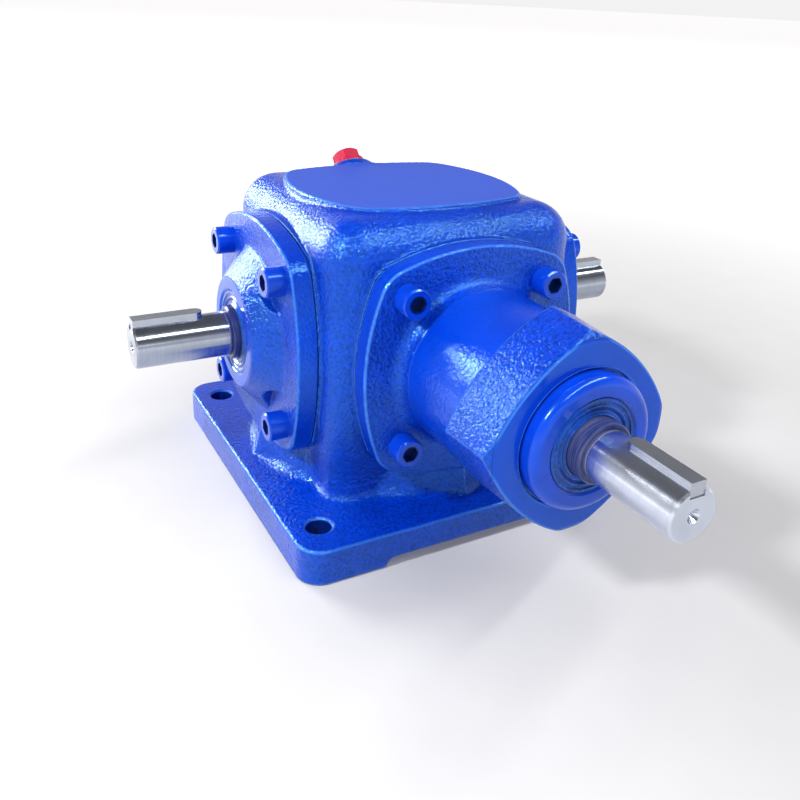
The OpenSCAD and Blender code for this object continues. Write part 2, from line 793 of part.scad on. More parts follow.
up_left() end_key(cross_reach);  // left_shaft_key
up_right() end_key(cross_reach);  // right_shaft_key
gear_key();
bevel_gear();
gear_spacer_sleeve();
input_snout();
toward_front() shim();  // snout_shim
toward_front() screw_set();  // snout_screws
input_shaft();
bevel_pinion();
pinion_key();
pinion_retaining_ring();
toward_front() end_key(input_reach);  // input_shaft_key
toward_front() thrust_in(inner_brg) outer_ring();  // inner_bearing_outer_ring
toward_front() thrust_in(inner_brg) inner_ring();  // inner_bearing_inner_ring
toward_front() thrust_in(inner_brg) rollers();  // inner_bearing_rollers
toward_front() thrust_in(inner_brg) cage();  // inner_bearing_cage
toward_front() thrust_out(outer_brg) outer_ring();  // outer_bearing_outer_ring
toward_front() thrust_out(outer_brg) inner_ring();  // outer_bearing_inner_ring
toward_front() thrust_out(outer_brg) rollers();  // outer_bearing_rollers
toward_front() thrust_out(outer_brg) cage();  // outer_bearing_cage
bearing_lock_washer();
bearing_lock_nut();
snout_end_cap();
toward_front() oil_seal(input_seal);  // input_oil_seal
toward_front() seal_spring(input_seal);  // input_seal_spring
color("crimson") at_breather() hex_plug(true);  // breather_plug
at_breather() plug_washer(plug_collar_r, plug_thread_r);  // breather_washer
color(steel) at_drain() hex_plug(false);  // drain_plug
at_drain() plug_washer(plug_collar_r, plug_thread_r);  // drain_washer
oil_level_gauge();
oil_level_lens();
at_level() plug_washer(level_collar_r - 1, level_r);  // oil_level_washer
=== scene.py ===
"""Right angle bevel gearbox: painted castings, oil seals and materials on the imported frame.

Shapes are worked out in millimetres, with the shaft axes AXIS_H above the floor, and become
metres in make_mesh and lathe. The camera, materials and lights are in metres.
"""
import functools
import json
import math

import bpy
import numpy as np
from mathutils import Matrix, Vector


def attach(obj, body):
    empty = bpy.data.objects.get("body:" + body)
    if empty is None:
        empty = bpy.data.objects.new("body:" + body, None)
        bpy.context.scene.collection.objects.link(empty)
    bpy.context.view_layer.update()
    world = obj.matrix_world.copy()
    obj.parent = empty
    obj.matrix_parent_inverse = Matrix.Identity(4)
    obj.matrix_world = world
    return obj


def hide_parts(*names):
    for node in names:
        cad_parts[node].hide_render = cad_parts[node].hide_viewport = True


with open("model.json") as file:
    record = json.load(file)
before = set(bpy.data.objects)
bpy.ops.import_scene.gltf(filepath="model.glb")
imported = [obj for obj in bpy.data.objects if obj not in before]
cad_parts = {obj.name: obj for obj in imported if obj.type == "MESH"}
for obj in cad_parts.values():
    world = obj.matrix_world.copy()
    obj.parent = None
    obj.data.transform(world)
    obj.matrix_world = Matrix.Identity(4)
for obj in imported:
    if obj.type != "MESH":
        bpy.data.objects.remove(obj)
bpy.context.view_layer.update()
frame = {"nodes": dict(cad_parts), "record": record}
nodes = frame["nodes"]

MM = 0.001
STEP = 1.0       # mesh step in mm, scaled per casting
TINY = 1e-9

# ---------------------------------------------------------------- sizes of the castings, in mm
AXIS_H = 102.0                              # shaft axes above the floor
# housing: heights are above the floor, and half sizes are from its middle
CORE_HALF, CORE_FLARE, FLARE_FROM = 72.0, 4.6, 30       # block, and how it widens upward
CORE_R, CORE_R_MORE, ROUND_FROM = 14.0, 8.0, 108        # its edges, and how they grow rounder
GROW_OVER = 45                                          # height that both changes take
CORE_MID, CORE_HALF_H = 64, 114.2
FOOT_X, FOOT_Y = 104, 108.5
FOOT_TOP, FOOT_CORNER = 21, 14
FOOT_HOLE_X, FOOT_HOLE_Y, FOOT_HOLE_R, HOLE_BREAK = 87, 85.5, 7, 0.8
CHANNEL_HALF, CHANNEL_DEEP = 57, 5                      # channel under the foot
SEAT_OUT = 78.5                                         # machined seats on the four sides
SHELF_OUT, SHELF_BACK, SHELF_HALF = 79.5, 12, 43        # shelf under a seat, set back at its ends
SHELF_H, SHELF_MID, SHELF_HALF_H = 37.5, 25, 13.0
SHELF_ACROSS, SHELF_UP = 0.90, 0.436                    # direction that its slope faces
PAD_MID_X, PAD_MID_Y, PAD_HALF, PAD_CUT = 64.5, 58, 50.5, 70
PAD_FROM, PAD_UP = 150, 78.3                            # top pad, and its top above the axes
BOSS_R, BOSS_Y, BOSS_UP, BOSS_LONG = 13, 69.5, 72.5, 25     # breather's boss
CAVITY_HALF, CAVITY_HALF_H, CAVITY_MID, CAVITY_CORNER = 60, 65, 97, 12
WALL_IN = 50                                            # bores through a wall start in here
PLUG_R, BREATHER_DEEP, DRAIN_H = 6.8, 30, 50
GAUGE_R, GAUGE_DOWN = 10.1, 10
# flanges and what they share: outward sizes are from the housing's middle
FLANGE_MID, FLANGE_HALF, FLANGE_CUT = 64.5, 53, 73.6    # half widths at middle and corner, cut
FLANGE_IN, FLANGE_OUT = 79.0, 89.8
SPIGOT_R, SPIGOT_OUT, OPENING_R = 42.97, 81.0, 43
SCREW_OFF, SCREW_HOLE_R = 41.4, 5.5                     # screws, from the shaft axis both ways
TAP_R, TAP_IN = 5.3, 62.5
BEARING_R, SHOULDER_R = 31, 25.5
# side covers
COVER_IN, COVER_OUT = 64.0, 103.5
HUB_IN, HUB_FOOT_R, POCKET_R = 80, 46.5, 19.0
HUB_ACROSS, HUB_OUT = 0.662, 0.749                      # direction that the cone faces
COVER_BEARING_OUT, COVER_SHOULDER_OUT, PASSAGE_R = 88, 91, 17
SEAL_R, SEAL_IN, SEAL_BREAK = 23.5, 95.7, 102.5
# input snout
SNOUT_IN, BARREL_IN, BARREL_OUT, BARREL_R = 52.0, 80, 152, 44.0
NOSE_IN, NOSE_OUT, NOSE_LONG, NOSE_TAPER = 149.3, 180.8, 31.5, 0.035
NOSE_MID, NOSE_CORNER = 45.4, 53.0
NOSE_BREAK_R, NOSE_BREAK_OUT = 51.2, 177.2              # cone that breaks the nose's corners
INNER_BEARING_OUT, OUTER_BEARING_IN = 67.75, 148
CAP_R, CAP_IN, SCREW_DEEP = 34.3, 178.8, 100


# ---------------------------------------------------------------- camera
def look_from(azimuth, elevation, roll, target, distance):
    """Camera matrix that looks at target from so many degrees round, up and rolled."""
    a, e, r = (math.radians(v) for v in (azimuth, elevation, roll))
    back = Vector((math.sin(a) * math.cos(e), -math.cos(a) * math.cos(e), math.sin(e)))
    right = Vector((0, 0, 1)).cross(back).normalized()
    up = back.cross(right)
    right, up = (right * math.cos(r) + up * math.sin(r),
                 up * math.cos(r) - right * math.sin(r))
    rot = Matrix((right, up, back)).transposed().to_4x4()
    return Matrix.Translation(target + back * distance) @ rot


cam_data = bpy.data.cameras.new("camera")
cam = bpy.data.objects.new("camera", cam_data)
bpy.context.scene.collection.objects.link(cam)
cam.matrix_world = look_from(azimuth=-29.85, elevation=22.48, roll=2.88,
                             target=Vector((-0.0425, -0.0988, 0.1238)), distance=0.422)
cam_data.sensor_width = 36.0
cam_data.lens = 38.48
cam_data.shift_x = -0.017
cam_data.shift_y = -0.0718
cam_data.clip_start = 0.01
cam_data.clip_end = 20
bpy.context.scene.camera = cam


# ---------------------------------------------------------------- distance fields, in mm
def smin(a, b, blend):
    """The smaller of two fields, blended over a width: a fillet between two solids."""
    h = np.maximum(blend - np.abs(a - b), 0) / blend
    return np.minimum(a, b) - h * h * blend * 0.25


def smax(a, b, blend):
    """The larger of two fields, blended over a width: a rounded edge."""
    return -smin(-a, -b, blend)


def union(*fields):
    """What lies in any of the fields, with no blend."""
    return functools.reduce(np.minimum, fields)


def step01(v):
    """Smooth step from 0 to 1."""
    t = np.clip(v, 0, 1)
    return t * t * (3 - 2 * t)


def bulged(u, v, mid_u, mid_v, half, soft, cut=None):
    """A square whose sides bulge from half at the corners to mid at the middle; its corners
    are softened, and cut off at a distance cut from the centre if that is given."""
    u, v = np.abs(u), np.abs(v)
    ru = (half ** 2 + (mid_u - half) ** 2) / (2 * (mid_u - half))
    rv = (half ** 2 + (mid_v - half) ** 2) / (2 * (mid_v - half))
    d = smax(np.hypot(u + ru - mid_u, v) - ru, np.hypot(v + rv - mid_v, u) - rv, soft)
    if cut is not None:
        d = smax(d, (u + v) / math.sqrt(2) - cut, 1.5)
    return d


def flange_outline(u, v, soft=2.5):
    return bulged(u, v, FLANGE_MID, FLANGE_MID, FLANGE_HALF, soft, FLANGE_CUT)


def round_box(qx, qy, qz, r):
    """Box with rounded edges; qx, qy and qz are measured from the middles of its edge rounds."""
    out = np.sqrt(np.maximum(qx, 0) ** 2 + np.maximum(qy, 0) ** 2 + np.maximum(qz, 0) ** 2)
    return out + np.minimum(np.maximum(np.maximum(qx, qy), qz), 0) - r


def uneven(x, y, z):
    """The slow waves a sand casting has, between about -1 and 1."""
    return (np.sin(x / 7.3 + 1.1 * np.sin(y / 11.0)) * np.sin(y / 8.1 + 0.7 + z / 19.0)
            + np.sin(z / 6.7 + 2.0 + 0.9 * np.sin(x / 13.0)) * np.sin(x / 17.0 - y / 12.3)) * 0.5


def slab(low, high, w, r_low, r_high, d):
    """Outline d carried from low to high along w, its two rims rounded."""
    return smax(smax(d, w - high, 3.2 * r_high), low - w, 3.2 * r_low)


def housing_field(x, y, z):
    """Housing: block with seats on its sides, on a foot, hollow and open to three sides."""
    ax, ay, zc = np.abs(x), np.abs(y), z - AXIS_H
    # cast core: narrower low down, corners and shoulders rounder towards the top
    half = CORE_HALF + CORE_FLARE * step01((z - FLARE_FROM) / GROW_OVER)
    r = CORE_R + CORE_R_MORE * step01((z - ROUND_FROM) / GROW_OVER)
    core = round_box(ax - half + r, ay - half + r, np.abs(z - CORE_MID) - CORE_HALF_H + r, r)
    core = core + 0.22 * uneven(x, y, z)
    seat_x = smax(flange_outline(y, zc), ax - SEAT_OUT, blend=0.5)
    seat_y = smax(flange_outline(x, zc), ay - SEAT_OUT, blend=0.5)
    body = smin(core, smin(seat_x, seat_y, blend=2), blend=1.5)
    # sloping shelf under each seat, set back towards its ends
    for along, out in ((ay, ax), (ax, ay)):
        reach = out - SHELF_OUT + SHELF_BACK * (along / SHELF_HALF) ** 2.6
        shelf = smax(reach * SHELF_ACROSS + (z - SHELF_H) * SHELF_UP,
                     np.abs(z - SHELF_MID) - SHELF_HALF_H, blend=3)
        body = smin(body, shelf + 0.15 * uneven(y, z, x), blend=3.2)
    # foot, its sides kept square where the body's fillet would pass them
    fx, fy = ax - FOOT_X + FOOT_CORNER, ay - FOOT_Y + FOOT_CORNER
    foot = np.hypot(np.maximum(fx, 0), np.maximum(fy, 0))
    foot = foot + np.minimum(np.maximum(fx, fy), 0) - FOOT_CORNER
    foot = smax(foot, z - FOOT_TOP + 0.08 * uneven(x, y, z), blend=1.7)
    body = smin(body, foot, blend=5.5)
    body = smax(body, np.maximum(ax - FOOT_X, ay - FOOT_Y), blend=0.4)
    # sloping boss of the breather: t runs out along it
    by, bz = y - BOSS_Y, z - (AXIS_H + BOSS_UP)
    t, across = (by + bz) * math.sqrt(0.5), (by - bz) * math.sqrt(0.5)
    boss_r = np.hypot(x, across)
    boss = smax(smax(boss_r - BOSS_R, t, blend=2.5), -t - BOSS_LONG, blend=1)
    body = smin(body, boss, blend=9)
    # top pad, narrower front to back than across
    pad = bulged(x, y, PAD_MID_X, PAD_MID_Y, PAD_HALF, 1.6, PAD_CUT)
    pad = smax(pad, z - (AXIS_H + PAD_UP), blend=0.9)
    pad = smax(pad, PAD_FROM - z, blend=1)
    body = smin(body, pad, blend=2.2)
    # underside and its channel
    body = smax(body, -z, blend=1.6)
    body = smax(body, -smax(ax - CHANNEL_HALF, z - CHANNEL_DEEP, blend=6), blend=1.6)
    # foot holes with a small break at the top edge
    hole = np.hypot(ax - FOOT_HOLE_X, ay - FOOT_HOLE_Y) - FOOT_HOLE_R
    hole = hole - np.clip(z - (FOOT_TOP - HOLE_BREAK), 0, HOLE_BREAK)
    body = smax(body, -hole, blend=0.8)
    # inside: cavity, openings, tapped holes, holes for breather, drain plug and gauge
    screw_x = np.hypot(ay - SCREW_OFF, np.abs(zc) - SCREW_OFF)
    screw_y = np.hypot(ax - SCREW_OFF, np.abs(zc) - SCREW_OFF)
    cuts = union(
        round_box(ax - CAVITY_HALF + CAVITY_CORNER, ay - CAVITY_HALF + CAVITY_CORNER,
                  np.abs(z - CAVITY_MID) - CAVITY_HALF_H + CAVITY_CORNER, CAVITY_CORNER),
        np.maximum(np.hypot(y, zc) - OPENING_R, WALL_IN - ax),
        np.maximum(np.hypot(x, zc) - OPENING_R, WALL_IN + y),
        np.maximum(screw_x - TAP_R, TAP_IN - ax),
        np.maximum(screw_y - TAP_R, TAP_IN + y),
        np.maximum(boss_r - PLUG_R, -BREATHER_DEEP - t),
        np.maximum(np.hypot(x, z - DRAIN_H) - PLUG_R, WALL_IN - y),
        np.maximum(np.hypot(x, z - (AXIS_H - GAUGE_DOWN)) - GAUGE_R, WALL_IN - y))
    return np.maximum(body, -cuts)


def flange_field(u, v, w):
    return slab(FLANGE_IN, FLANGE_OUT, w, 0.12, 0.45, flange_outline(u, v))


def cover_field(u, v, w):
    """Side cover: w runs outward from the housing's middle, u and v across the shaft."""
    rho = np.hypot(u, v)
    screw = np.hypot(np.abs(u) - SCREW_OFF, np.abs(v) - SCREW_OFF)
    # conical hub with a pocket round each screw
    hub = (rho - HUB_FOOT_R) * HUB_ACROSS + (w - FLANGE_OUT) * HUB_OUT
    hub = smax(hub, w - COVER_OUT, blend=0.9)
    hub = smax(hub, HUB_IN - w, blend=1)
    hub = smax(hub, POCKET_R - screw, blend=0.9)
    hub = hub + 0.12 * uneven(u * 1.3, v * 1.3, w)
    d = smin(flange_field(u, v, w), hub, blend=1.6)
    d = np.minimum(d, slab(COVER_IN, SPIGOT_OUT, w, 0.5, 0.3, rho - SPIGOT_R))
    bores = union(
        np.maximum(rho - BEARING_R, w - COVER_BEARING_OUT),
        np.maximum(rho - SHOULDER_R, w - COVER_SHOULDER_OUT),
        rho - PASSAGE_R,
        np.maximum(rho - SEAL_R - np.maximum(w - SEAL_BREAK, 0), SEAL_IN - w),
        screw - SCREW_HOLE_R)
    return smax(d, -bores, blend=0.6)


def snout_field(u, v, w):
    """Input snout: flange, barrel and nose along w, outward from the housing's middle."""
    rho = np.hypot(u, v)
    screw = np.hypot(np.abs(u) - SCREW_OFF, np.abs(v) - SCREW_OFF)
    barrel = rho - BARREL_R + 0.05 * uneven(u, w, v)
    barrel = slab(BARREL_IN, BARREL_OUT, w, 0.3, 0.3, barrel)
    # four-cornered nose, its corners up, down, left and right; p and q run across its flats
    p, q = (u + v) * math.sqrt(0.5), (u - v) * math.sqrt(0.5)
    grow = 1.0 - NOSE_TAPER * np.clip((w - NOSE_IN) / NOSE_LONG, 0, 1)
    nose = bulged(p / grow, q / grow, NOSE_MID, NOSE_MID, NOSE_CORNER * math.sqrt(0.5), 0.5) * grow
    nose = smax(nose, (rho - NOSE_BREAK_R) * 0.70 + (w - NOSE_BREAK_OUT) * 0.70, blend=0.5)
    nose = slab(NOSE_IN, NOSE_OUT, w, 0.15, 0.4, nose)
    d = smin(flange_field(u, v, w), barrel, blend=7.5)
    d = smin(d, nose, blend=0.5)
    d = np.minimum(d, slab(SNOUT_IN, SPIGOT_OUT, w, 0.5, 0.3, rho - SPIGOT_R))
    bores = union(
        np.maximum(rho - BEARING_R, w - INNER_BEARING_OUT),
        rho - SHOULDER_R,
        np.maximum(rho - BEARING_R, OUTER_BEARING_IN - w),
        np.maximum(rho - CAP_R, CAP_IN - w),
        np.maximum(screw - SCREW_HOLE_R, w - SCREW_DEEP))
    return smax(d, -bores, blend=0.6)


# ---------------------------------------------------------------- surface from a field
GRID_LEAD = 1.37        # steps before the box, not whole: flat faces seldom lie on grid planes
GRID_TAIL = 2
PULLS, LONGEST_PULL = 3, 0.4        # moves of each point onto the surface, in steps


def surface(field, low, high, step):
    """Points, quads and normals of the field's zero surface in a box (naive surface nets)."""
    axes = [np.arange(a - GRID_LEAD * step, b + GRID_TAIL * step, step, dtype=np.float32)
            for a, b in zip(low, high)]
    grid = field(axes[0][:, None, None], axes[1][None, :, None], axes[2][None, None, :])
    grid = grid.astype(np.float32)
    shape = [n - 1 for n in grid.shape]
    total = shape[0] * shape[1] * shape[2]
    sums = np.zeros((total, 4), np.float32)     # per cell: x, y, z and count of its crossings
    inside = grid < 0
    quads = []
    for ax in range(3):
        b, c = (ax + 1) % 3, (ax + 2) % 3
        first = [slice(None)] * 3
        second = [slice(None)] * 3
        first[ax], second[ax] = slice(0, -1), slice(1, None)
        change = inside[tuple(first)] != inside[tuple(second)]
        trim = np.zeros_like(change)
        keep = [slice(None)] * 3
        keep[b], keep[c] = slice(1, -1), slice(1, -1)
        trim[tuple(keep)] = change[tuple(keep)]
        at = np.argwhere(trim)
        d0 = grid[tuple(first)][trim]
        d1 = grid[tuple(second)][trim]
        t = d0 / (d0 - d1)
        place = np.stack([axes[i][at[:, i]] for i in range(3)], 1)
        place[:, ax] += t * step
        cells = []
        for db, dc in ((1, 1), (0, 1), (0, 0), (1, 0)):
            cell = at.copy()
            cell[:, b] -= db
            cell[:, c] -= dc
            flat = (cell[:, 0] * shape[1] + cell[:, 1]) * shape[2] + cell[:, 2]
            cells.append(flat)
            for k in range(3):
                sums[:, k] += np.bincount(flat, place[:, k], total).astype(np.float32)
            sums[:, 3] += np.bincount(flat, minlength=total).astype(np.float32)
        quad = np.stack(cells, 1)
        flip = d0 > d1
        quad[flip] = quad[flip][:, ::-1]
        quads.append(quad)
    used = np.nonzero(sums[:, 3] > 0)[0]
    number = np.full(total, -1, np.int64)
    number[used] = np.arange(len(used))
    points = (sums[used, :3] / sums[used, 3:4]).astype(np.float64)
    faces = number[np.concatenate(quads)]
    for _ in range(PULLS):
        value, slope = gradient(field, points)
        length2 = np.maximum((slope ** 2).sum(1), 0.05)
        move = -(value / length2)[:, None] * slope
        size = np.linalg.norm(move, axis=1, keepdims=True)
        points += move * np.minimum(1, LONGEST_PULL * step / np.maximum(size, TINY))
    _, slope = gradient(field, points)
    normals = slope / np.maximum(np.linalg.norm(slope, axis=1, keepdims=True), TINY)
    return points, faces, normals


def gradient(field, pts, e=0.12):
    """The field and its slope at points, from differences over e mm to each side."""
    x, y, z = pts[:, 0], pts[:, 1], pts[:, 2]
    value = field(x, y, z)
    slope = np.stack([field(x + e, y, z) - field(x - e, y, z),
                      field(x, y + e, z) - field(x, y - e, z),
                      field(x, y, z + e) - field(x, y, z - e)], 1) / (2 * e)
    return value, slope


def bend(points, faces, normals):
    """How far the surface falls away from each point's tangent plane, per length: above 0 at
    outer edges, below 0 in creases, near 0 on flats and wide curves."""
    a, b = faces.ravel(), np.roll(faces, -1, 1).ravel()
    count = len(points)
    run = points[b] - points[a]
    length = np.sqrt((run ** 2).sum(1))
    fall = (np.bincount(a, -(run * normals[a]).sum(1), count)
            + np.bincount(b, (run * normals[b]).sum(1), count))
    sharp = fall / np.maximum(np.bincount(a, length, count) + np.bincount(b, length, count), TINY)
    links = np.maximum(np.bincount(a, minlength=count) + np.bincount(b, minlength=count), 1)
    around = (np.bincount(a, sharp[b], count) + np.bincount(b, sharp[a], count)) / links
    return 0.5 * (sharp + around)


def make_mesh(name, points, faces, normals, masks):
    """Mesh object from arrays in mm; masks are per-point numbers that materials read by name."""
    mesh = bpy.data.meshes.new(name)
    mesh.vertices.add(len(points))
    mesh.vertices.foreach_set("co", (points * MM).astype(np.float32).ravel())
    mesh.loops.add(faces.size)
    mesh.loops.foreach_set("vertex_index", faces.astype(np.int32).ravel())
    mesh.polygons.add(len(faces))
    mesh.polygons.foreach_set("loop_start", np.arange(0, faces.size, 4, dtype=np.int32))
    mesh.update(calc_edges=True)
    mesh.polygons.foreach_set("use_smooth", np.ones(len(faces), bool))
    for key, values in (masks | {"bend": bend(points, faces, normals)}).items():
        layer = mesh.attributes.new(key, "FLOAT", "POINT")
        layer.data.foreach_set("value", values.astype(np.float32))
    mesh.normals_split_custom_set_from_vertices(normals.astype(np.float32))
    obj = bpy.data.objects.new(name, mesh)
    bpy.context.scene.collection.objects.link(obj)
    return obj


def turned(points, faces, normals, side):
    """From local (u, v, w), w outward, to the object's frame for one side."""
    u, v, w = points.T
    nu, nv, nw = normals.T
    if side == "left":
        return np.stack([-w, u, v + AXIS_H], 1), faces[:, ::-1], np.stack([-nw, nu, nv], 1)
    if side == "right":
        return np.stack([w, u, v + AXIS_H], 1), faces, np.stack([nw, nu, nv], 1)
    return np.stack([u, -w, v + AXIS_H], 1), faces, np.stack([nu, -nw, nv], 1)


# ---------------------------------------------------------------- material nodes
def material(name):
    mat = bpy.data.materials.new(name)
    mat.use_nodes = True
    tree = mat.node_tree
    return mat, tree, tree.nodes["Principled BSDF"]


def add(tree, kind, **values):
    """New node; values name its sockets or its own settings."""
    node = tree.nodes.new(kind)
    for key, value in values.items():
        if key in node.inputs:
            node.inputs[key].default_value = value
        else:
            setattr(node, key, value)
    return node


def link(tree, a, b):
    tree.links.new(a, b)


def attribute(tree, name):
    """One of the masks that make_mesh stored."""
    return add(tree, "ShaderNodeAttribute", attribute_name=name).outputs["Fac"]


def object_place(tree):
    return add(tree, "ShaderNodeTexCoord").outputs["Object"]


def noise(tree, scale, detail=2.0, rough=0.5, stretch=None):
    source = object_place(tree)
    if stretch:
        mapping = add(tree, "ShaderNodeMapping")
        mapping.inputs["Scale"].default_value = stretch
        link(tree, source, mapping.inputs["Vector"])
        source = mapping.outputs["Vector"]
    tex = add(tree, "ShaderNodeTexNoise", Scale=scale, Detail=detail, Roughness=rough)
    link(tree, source, tex.inputs["Vector"])
    return tex.outputs["Fac"]


def ramp(tree, source, low, high, a, b):
    """Source from low to high becomes a to b, and stays there outside."""
    node = add(tree, "ShaderNodeMapRange")
    node.inputs["From Min"].default_value = low
    node.inputs["From Max"].default_value = high
    node.inputs["To Min"].default_value = a
    node.inputs["To Max"].default_value = b
    link(tree, source, node.inputs["Value"])
    return node.outputs["Result"]


def math_node(tree, op, a, b=0):
    node = add(tree, "ShaderNodeMath", operation=op)
    for i, v in enumerate((a, b)):
        if isinstance(v, (int, float)):
            node.inputs[i].default_value = v
        else:
            link(tree, v, node.inputs[i])
    return node.outputs[0]


def times(tree, a, b):
    return math_node(tree, "MULTIPLY", a, b)


def mix_colour(tree, fac, a, b):
    node = add(tree, "ShaderNodeMix", data_type="RGBA")
    for socket, v in ((node.inputs[0], fac), (node.inputs[6], a), (node.inputs[7], b)):
        if isinstance(v, (int, float)):
            socket.default_value = v
        elif isinstance(v, tuple):
            socket.default_value = (*v, 1)
        else:
            link(tree, v, socket)
    return node.outputs[2]


def bump(tree, height, strength, distance, normal=None):
    node = add(tree, "ShaderNodeBump")
    node.inputs["Strength"].default_value = strength
    node.inputs["Distance"].default_value = distance
    link(tree, height, node.inputs["Height"])
    if normal is not None:
        link(tree, normal, node.inputs["Normal"])
    return node.outputs["Normal"]


def position_parts(tree):
    split = add(tree, "ShaderNodeSeparateXYZ")
    link(tree, object_place(tree), split.inputs[0])
    return split.outputs


# ---------------------------------------------------------------- materials
BLUE = (0.001, 0.048, 0.60)
BLUE_DEEP = (0.0005, 0.020, 0.31)
BLUE_SHADE_PAINTED = (0.0003, 0.012, 0.16)
BLUE_EDGE_HIGHLIGHT = (0.09, 0.36, 1.0)
BLUE_PALE = (0.032, 0.080, 0.46)
SOCKET_SHADE = (0.001, 0.006, 0.06)
OVERSPRAY = (0.001, 0.012, 0.13)
GLEAM = (0.24, 0.76, 1.0, 1)            # tint of the enamel's reflections
AXIS_Z = 0.102                          # shaft axes, in metres
SCREW_OUT = 0.0414                      # cover screws from the shaft axis, in metres


def cast_paint():
    """Gloss enamel over a sand casting; 'machined' is 1 where the metal under it was cut."""
    mat, tree, bsdf = material("cast_paint")
    cut = attribute(tree, "machined")
    pad = attribute(tree, "pad")
    fine = noise(tree, 1250)
    coarse = noise(tree, 560)
    slow = noise(tree, 45)
    blotch = noise(tree, 18, 3.0, 0.6)
    colour = mix_colour(tree, ramp(tree, blotch, 0.35, 0.68, 0, 0.6), BLUE, BLUE_DEEP)
    pebble = math_node(tree, "ADD", times(tree, fine, 0.3), coarse)
    # painted shade: the pebbles' hollows are darkened towards deep blue, less on cut faces
    pits = times(tree, ramp(tree, pebble, 0.735, 0.475, 0, 0.6),
                 math_node(tree, "SUBTRACT", 1.0, cut))
    colour = mix_colour(tree, pits, colour, BLUE_SHADE_PAINTED)
    colour = mix_colour(tree, times(tree, pad, 0.8), colour, BLUE_PALE)
    # painted highlight: outer edges are lightened towards pale blue; painted shade: creases and
    # the foot holes are darkened
    turn = attribute(tree, "bend")
    edge = ramp(tree, turn, 0.05, 0.22, 0, 1)
    # painted highlight on outer edges
    colour = mix_colour(tree, times(tree, edge, 0.75), colour, BLUE_EDGE_HIGHLIGHT)
    # painted shade in creases, then in the foot holes
    colour = mix_colour(tree, ramp(tree, turn, -0.03, -0.20, 0, 0.85), colour, BLUE_SHADE_PAINTED)
    colour = mix_colour(tree, times(tree, attribute(tree, "hole"), 0.9), colour, BLUE_SHADE_PAINTED)
    link(tree, colour, bsdf.inputs["Base Color"])
    # the top pad is dull
    rough = add(tree, "ShaderNodeMix", data_type="FLOAT")
    link(tree, pad, rough.inputs[0])
    link(tree, ramp(tree, slow, 0.3, 0.7, 0.08, 0.15), rough.inputs[2])
    rough.inputs[3].default_value = 0.5
    link(tree, rough.outputs[0], bsdf.inputs["Roughness"])
    link(tree, ramp(tree, pad, 0, 1, 0.9, 0.3), bsdf.inputs["Specular IOR Level"])
    bsdf.inputs["Specular Tint"].default_value = GLEAM
    # pebbles fade out on cut faces and at edges
    keep = math_node(tree, "SUBTRACT", 1.0, times(tree, cut, 0.9))
    keep = times(tree, keep, math_node(tree, "SUBTRACT", 1.0, times(tree, edge, 0.7)))
    normal = bump(tree, times(tree, pebble, keep), 1.0, 0.00078)
    normal = bump(tree, times(tree, slow, keep), 0.25, 0.0012, normal)
    link(tree, normal, bsdf.inputs["Normal"])
    return mat


def turned_paint(name="turned_paint", across=None):
    """The same enamel over turned metal; across names the two axes of a screw square, in whose
    hexagon sockets shade is painted into the colour as near-black blue."""
    mat, tree, bsdf = material(name)
    slow = noise(tree, 60)
    fine = noise(tree, 700)
    colour = mix_colour(tree, ramp(tree, slow, 0.35, 0.7, 0, 0.5), BLUE, BLUE_DEEP)
    if across:
        place = position_parts(tree)
        legs = []
        for axis in across:
            value = place["xyz".index(axis)]
            if axis == "z":
                value = math_node(tree, "SUBTRACT", value, AXIS_Z)
            off = math_node(tree, "SUBTRACT", math_node(tree, "ABSOLUTE", value), SCREW_OUT)
            legs.append(times(tree, off, off))
        reach = math_node(tree, "SQRT", math_node(tree, "ADD", *legs))
        # painted shade: the hexagon sockets are darkened to near black
        socket = ramp(tree, reach, 0.0050, 0.0045, 0, 0.85)
        colour = mix_colour(tree, socket, colour, SOCKET_SHADE)
    link(tree, colour, bsdf.inputs["Base Color"])
    link(tree, ramp(tree, slow, 0.3, 0.7, 0.16, 0.26), bsdf.inputs["Roughness"])
    link(tree, bump(tree, fine, 0.25, 0.0003), bsdf.inputs["Normal"])
    bsdf.inputs["Specular IOR Level"].default_value = 0.6
    bsdf.inputs["Specular Tint"].default_value = GLEAM
    bsdf.inputs["Coat Weight"].default_value = 0.3
    bsdf.inputs["Coat Roughness"].default_value = 0.08
    return mat


